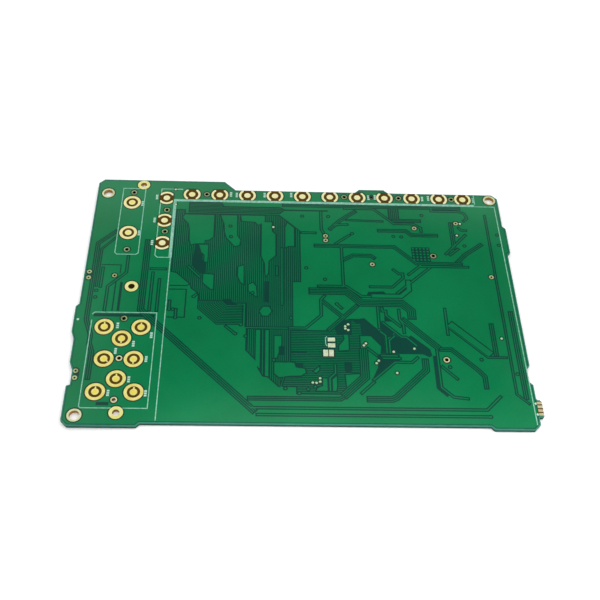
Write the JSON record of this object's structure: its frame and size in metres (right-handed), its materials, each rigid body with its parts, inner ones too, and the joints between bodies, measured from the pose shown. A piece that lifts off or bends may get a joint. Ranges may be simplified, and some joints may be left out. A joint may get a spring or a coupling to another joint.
{
  "type": "bare circuit board",
  "caption": "Flat rigid circuit board with a stepped and notched outline, plated holes, ring-shaped key contacts, etched copper under green solder mask and white legend lines",
  "frame": {"origin": "under the middle of the overall outline, on the underside of the board", "axes": "+X to the right along the board's long side, +Y towards the rear edge with the row of menu key contacts, +Z out of the face that carries the key contacts"},
  "size_m": [0.2026, 0.1402, 0.0018],
  "materials": {
    "laminate": "bare woven glass-epoxy laminate, milled edge",
    "copper": "etched copper foil, covered by the solder mask",
    "solder_mask": "smooth green solder mask",
    "legend_ink": "screen-printed white ink",
    "gold_plate": "gold over nickel over copper",
    "bright_tin": "smooth bright tin"
  },
  "bodies": {
    "root": {"laminate": "laminate", "front_pour": "copper", "front_tracks": "copper", "front_bus_tracks": "copper", "back_pour": "copper", "front_solder_mask": "solder_mask", "back_solder_mask": "solder_mask", "front_legend": "legend_ink", "surface_pads": "bright_tin", "test_dots": "bright_tin", "test_point_platings": "gold_plate", "pin_hole_platings": "gold_plate", "edge_contact_platings": "gold_plate", "mounting_hole_plating_1": "gold_plate", "mounting_hole_plating_2": "gold_plate", "mounting_hole_plating_3": "gold_plate", "ground_hole_plating_1": "gold_plate", "ground_hole_plating_2": "gold_plate", "ground_hole_plating_3": "gold_plate", "small_hole_plating_1": "gold_plate", "small_hole_plating_2": "gold_plate", "small_hole_plating_3": "gold_plate", "small_hole_plating_4": "gold_plate", "small_hole_plating_5": "gold_plate", "small_hole_plating_6": "gold_plate", "small_hole_plating_7": "gold_plate", "small_hole_plating_8": "gold_plate", "small_hole_plating_9": "gold_plate", "small_hole_plating_10": "gold_plate", "small_hole_plating_11": "gold_plate", "small_hole_plating_12": "gold_plate", "small_hole_plating_13": "gold_plate", "menu_key_contact_1": "gold_plate", "menu_key_contact_2": "gold_plate", "menu_key_contact_3": "gold_plate", "menu_key_contact_4": "gold_plate", "menu_key_contact_5": "gold_plate", "menu_key_contact_6": "gold_plate", "menu_key_contact_7": "gold_plate", "menu_key_contact_8": "gold_plate", "menu_key_contact_9": "gold_plate", "menu_key_contact_10": "gold_plate", "menu_key_contact_11": "gold_plate", "side_key_contact_1": "gold_plate", "side_key_contact_2": "gold_plate", "side_key_contact_3": "gold_plate", "twin_key_contact_1": "gold_plate", "twin_key_contact_2": "gold_plate", "cluster_key_contact_1": "gold_plate", "cluster_key_contact_2": "gold_plate", "cluster_key_contact_3": "gold_plate", "cluster_key_contact_4": "gold_plate", "cluster_key_contact_5": "gold_plate", "cluster_key_contact_6": "gold_plate", "cluster_key_contact_7": "gold_plate", "cluster_key_contact_8": "gold_plate"}
  },
  "joints": []
}
